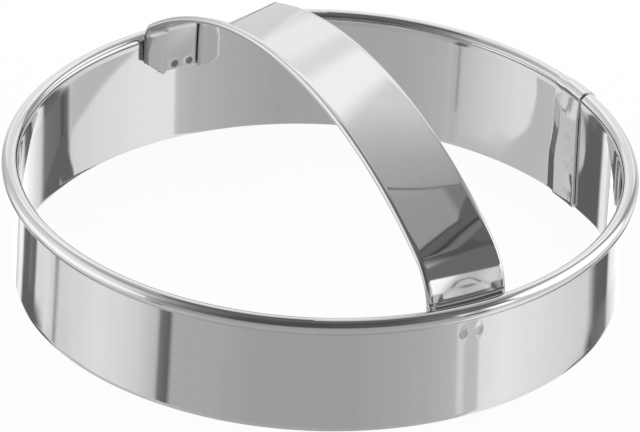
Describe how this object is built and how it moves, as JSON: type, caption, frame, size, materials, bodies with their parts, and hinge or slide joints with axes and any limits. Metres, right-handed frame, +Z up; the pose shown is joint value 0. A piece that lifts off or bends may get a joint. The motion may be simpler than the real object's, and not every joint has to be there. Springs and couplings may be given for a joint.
{
  "type": "round cookie cutter",
  "caption": "Round sheet-metal cutter ring with an outward rolled rim, a lapped and spot-welded seam, and an arched strap handle with hemmed edges welded inside.",
  "frame": {"origin": "on the ring's axis, level with the cutting edge that the part stands on", "axes": "+Z up along the ring's axis, +X along the handle, the seam beside +Y"},
  "size_m": [0.1258, 0.1261, 0.0492],
  "materials": {
    "ring_steel": "bright rolled stainless steel with fine drawing lines and handling smudges",
    "strap_steel": "bright rolled stainless steel with faint lines along the strap"
  },
  "bodies": {
    "root": {"cutter_ring": "ring_steel", "handle_strap": "strap_steel"}
  },
  "joints": []
}
